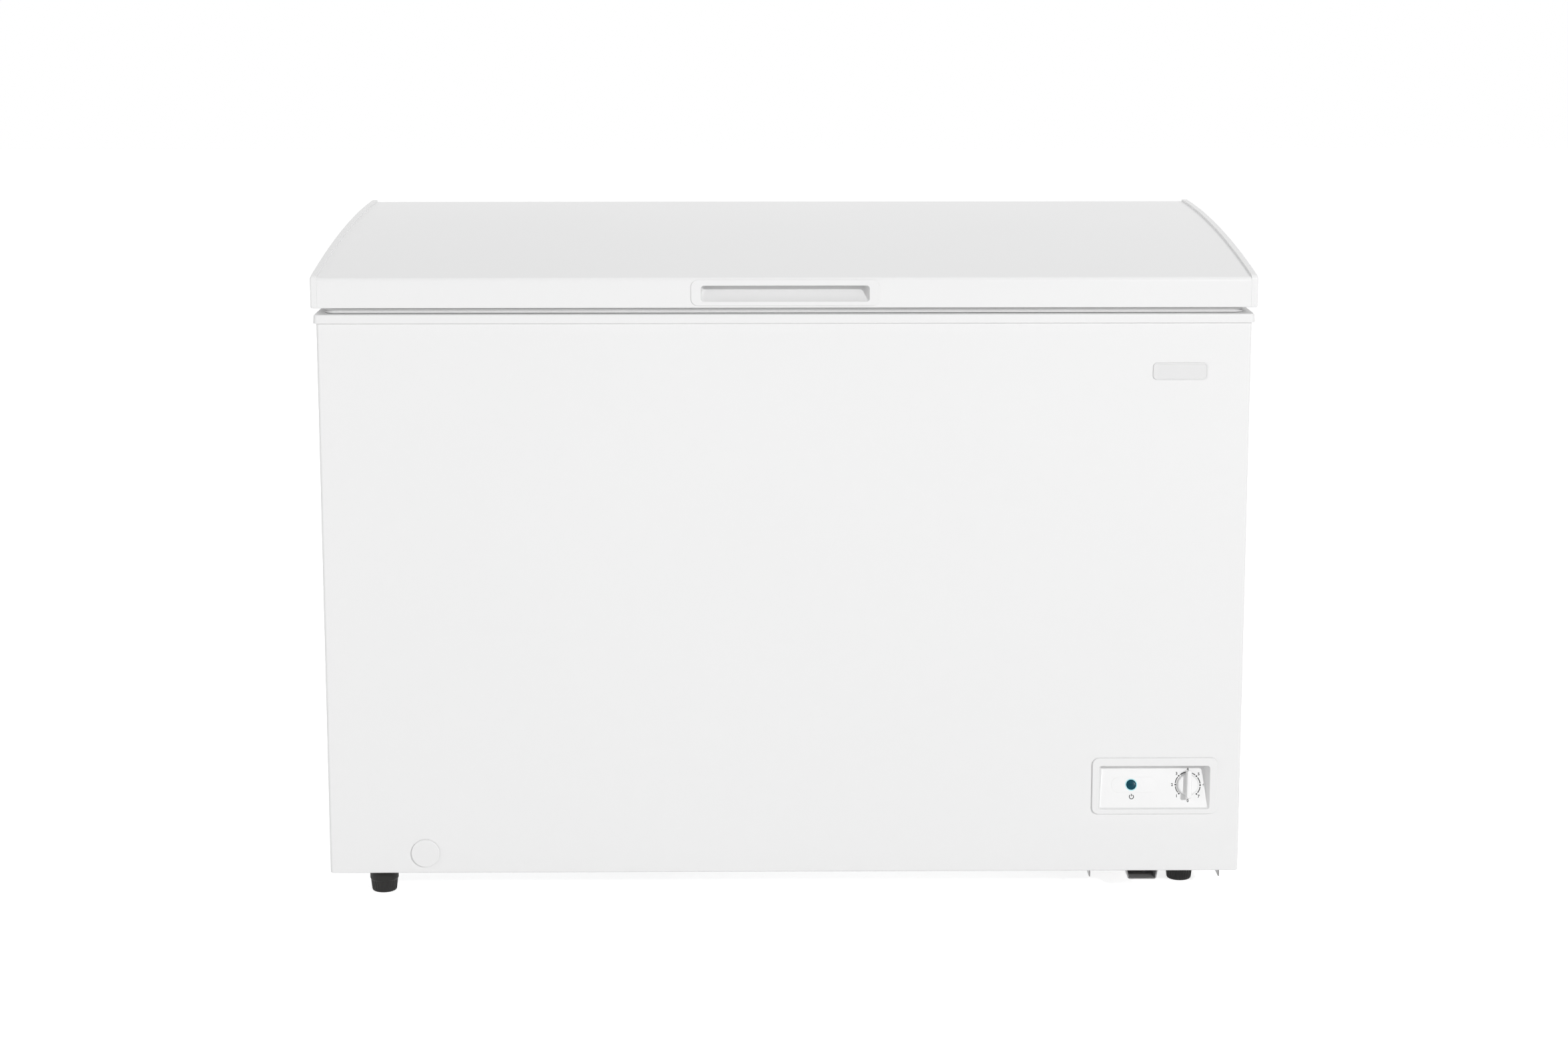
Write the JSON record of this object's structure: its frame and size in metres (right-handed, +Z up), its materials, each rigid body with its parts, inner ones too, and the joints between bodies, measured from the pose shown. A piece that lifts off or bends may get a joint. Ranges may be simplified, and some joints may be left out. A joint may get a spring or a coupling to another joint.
{
  "type": "chest freezer",
  "caption": "White chest freezer with a domed, counterbalanced lid, recessed handle, low front dial panel, drain, hanging basket, levelling feet and a compressor space at the lower right.",
  "frame": {"origin": "on the floor under the middle of the whole object", "axes": "+X to the right across the front (the longest side), +Y from front to back, +Z up"},
  "size_m": [1.13, 0.6228, 0.8146],
  "materials": {
    "painted_steel": "gloss",
    "zinc_steel": "satin",
    "aluminium": "satin",
    "white_plastic": "satin",
    "badge": "satin",
    "black_plastic": "matte",
    "rubber": "matte",
    "gasket": "matte",
    "foam": "matte",
    "copper": "satin",
    "black_steel": "satin",
    "bright_steel": "satin",
    "lens": "gloss",
    "white_wire": "gloss"
  },
  "bodies": {
    "cabinet": {"outer_wrap": "painted_steel", "back_panel": "zinc_steel", "bottom_panel": "zinc_steel", "compressor_base_plate": "zinc_steel", "rear_cover": "zinc_steel", "thermostat_body": "zinc_steel", "hinge_bracket_left": "zinc_steel", "hinge_bracket_right": "zinc_steel", "inner_liner": "aluminium", "evaporator_coil": "aluminium", "top_collar": "white_plastic", "drain_duct": "white_plastic", "control_bezel": "white_plastic", "side_vent_grille": "white_plastic", "badge_plate": "badge", "compressor_terminal_cover": "black_plastic", "indicator_lamp": "black_plastic", "inlet_gland": "rubber", "grommet_front_left": "rubber", "grommet_front_right": "rubber", "grommet_rear_left": "rubber", "grommet_rear_right": "rubber", "cabinet_foam": "foam", "filter_drier": "copper", "suction_pipe": "copper", "discharge_pipe": "copper", "compressor": "black_steel", "condenser_coil": "black_steel", "hinge_pin_left": "bright_steel", "hinge_pin_right": "bright_steel", "hinge_spring_left": "bright_steel", "hinge_spring_right": "bright_steel", "indicator_lens": "lens"},
    "lid": {"lid_skin": "painted_steel", "lid_end_cap_left": "white_plastic", "lid_end_cap_right": "white_plastic", "lid_foam": "foam", "lid_liner": "white_plastic", "lid_gasket": "gasket", "lid_handle": "white_plastic", "hinge_arm_left": "zinc_steel", "hinge_arm_right": "zinc_steel"},
    "knob": {"thermostat_knob": "white_plastic", "thermostat_shaft": "bright_steel"},
    "outer_drain_cap": {"drain_cap": "white_plastic"},
    "inner_drain_plug": {"drain_plug": "rubber"},
    "basket": {"wire_basket": "white_wire", "basket_grip_front": "white_plastic", "basket_grip_back": "white_plastic"},
    "front_left_foot": {"foot_front_left": "black_plastic", "foot_stud_front_left": "zinc_steel"},
    "rear_left_foot": {"foot_rear_left": "black_plastic", "foot_stud_rear_left": "zinc_steel"},
    "front_right_foot": {"foot_front_right": "black_plastic", "foot_stud_front_right": "zinc_steel"},
    "rear_right_foot": {"foot_rear_right": "black_plastic", "foot_stud_rear_right": "zinc_steel"},
    "left_follower": {"spring_follower_left": "black_plastic"},
    "right_follower": {"spring_follower_right": "black_plastic"}
  },
  "joints": [
    {"name": "lid_hinge", "type": "hinge", "parent": "cabinet", "child": "lid", "pos_m": [0, 0.30037, 0.747], "axis": [-1, 0, 0], "range_deg": [0, 80], "stiffness_Nm_per_rad": 11, "springref_deg": 88.81},
    {"name": "dial_turn", "type": "hinge", "parent": "cabinet", "child": "knob", "pos_m": [0.4963, -0.29166, 0.1453], "axis": [0, 0.9501, -0.3121], "range_deg": [-183, 132]},
    {"name": "drain_cap_pull", "type": "slide", "parent": "cabinet", "child": "outer_drain_cap", "axis": [0, -1, 0], "range_m": [0, 0.03]},
    {"name": "drain_plug_lift", "type": "slide", "parent": "cabinet", "child": "inner_drain_plug", "axis": [0, 0, 1], "range_m": [0, 0.025]},
    {"name": "basket_slide", "type": "slide", "parent": "cabinet", "child": "basket", "axis": [-1, 0, 0], "range_m": [0, 0.76]},
    {"name": "front_left_foot_screw", "type": "slide", "parent": "cabinet", "child": "front_left_foot", "axis": [0, 0, 1], "range_m": [-0.012, 0]},
    {"name": "rear_left_foot_screw", "type": "slide", "parent": "cabinet", "child": "rear_left_foot", "axis": [0, 0, 1], "range_m": [-0.012, 0]},
    {"name": "front_right_foot_screw", "type": "slide", "parent": "cabinet", "child": "front_right_foot", "axis": [0, 0, 1], "range_m": [-0.012, 0]},
    {"name": "rear_right_foot_screw", "type": "slide", "parent": "cabinet", "child": "rear_right_foot", "axis": [0, 0, 1], "range_m": [-0.012, 0]},
    {"name": "left_follower_slide", "type": "slide", "parent": "cabinet", "child": "left_follower", "axis": [0, 0, 1], "range_m": [0, 0.0046], "deforming": ["hinge_spring_left"]},
    {"name": "right_follower_slide", "type": "slide", "parent": "cabinet", "child": "right_follower", "axis": [0, 0, 1], "range_m": [0, 0.0046], "deforming": ["hinge_spring_right"]}
  ],
  "couplings": [
    {"joint": "left_follower_slide", "follows": "lid_hinge", "m_per_rad": 0.0032},
    {"joint": "right_follower_slide", "follows": "lid_hinge", "m_per_rad": 0.0032}
  ]
}
